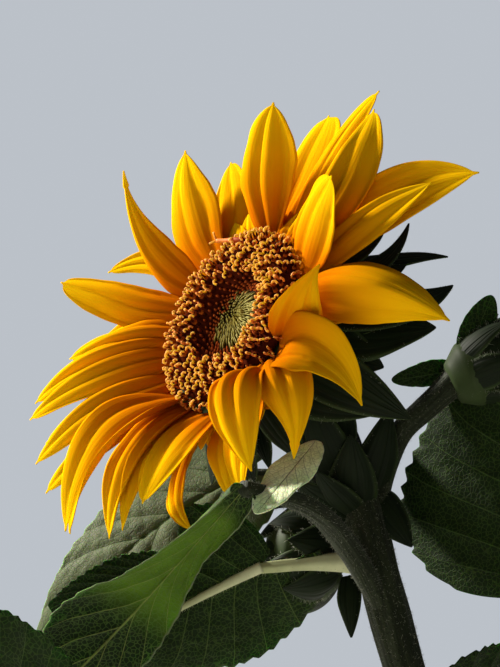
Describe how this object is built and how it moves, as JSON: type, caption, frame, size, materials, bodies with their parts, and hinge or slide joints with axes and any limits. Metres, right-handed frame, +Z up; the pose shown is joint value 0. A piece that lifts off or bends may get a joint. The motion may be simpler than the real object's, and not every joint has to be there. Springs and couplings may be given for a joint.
{
  "type": "sunflower plant",
  "caption": "Flowering top of a sunflower plant: one stem with a large open head that faces sideways, side buds and broad leaves.",
  "frame": {"origin": "middle of the flat cut under the stem, at ground level", "axes": "+Z straight up; the open head faces -X and -Y, at 139 degrees to the left of +X; +X to the right as the picture sees it"},
  "size_m": [0.3752, 0.2034, 0.4819],
  "materials": {
    "petal": "soft satin petal",
    "florets": "matte floret disc",
    "bract": "matte hairy bract",
    "leaf": "matte rough leaf",
    "stem": "matte hairy stem"
  },
  "bodies": {
    "root": {"stem": "stem", "neck": "stem", "disc": "florets", "receptacle": "bract", "petal_01": "petal", "petal_02": "petal", "petal_03": "petal", "petal_04": "petal", "petal_05": "petal", "petal_06": "petal", "petal_07": "petal", "petal_08": "petal", "petal_09": "petal", "petal_10": "petal", "petal_11": "petal", "petal_12": "petal", "petal_13": "petal", "petal_14": "petal", "petal_15": "petal", "petal_16": "petal", "petal_17": "petal", "petal_18": "petal", "petal_19": "petal", "petal_20": "petal", "petal_21": "petal", "petal_22": "petal", "petal_23": "petal", "petal_24": "petal", "petal_25": "petal", "petal_26": "petal", "petal_27": "petal", "petal_28": "petal", "petal_29": "petal", "petal_30": "petal", "petal_31": "petal", "side_branch": "stem", "bud_left": "bract", "bud_right": "bract", "stalk_upper_left": "stem", "leaf_upper_left": "leaf", "stalk_lower_left": "stem", "leaf_lower_left": "leaf", "stalk_lower_middle": "stem", "leaf_lower_middle": "leaf", "stalk_right": "stem", "leaf_right": "leaf", "stalk_corner_left": "stem", "leaf_corner_left": "leaf", "stalk_corner_right": "stem", "leaf_corner_right": "leaf", "leaflet_front": "leaf", "leaflet_bud_upper": "leaf", "leaflet_bud_side": "leaf"}
  },
  "joints": []
}
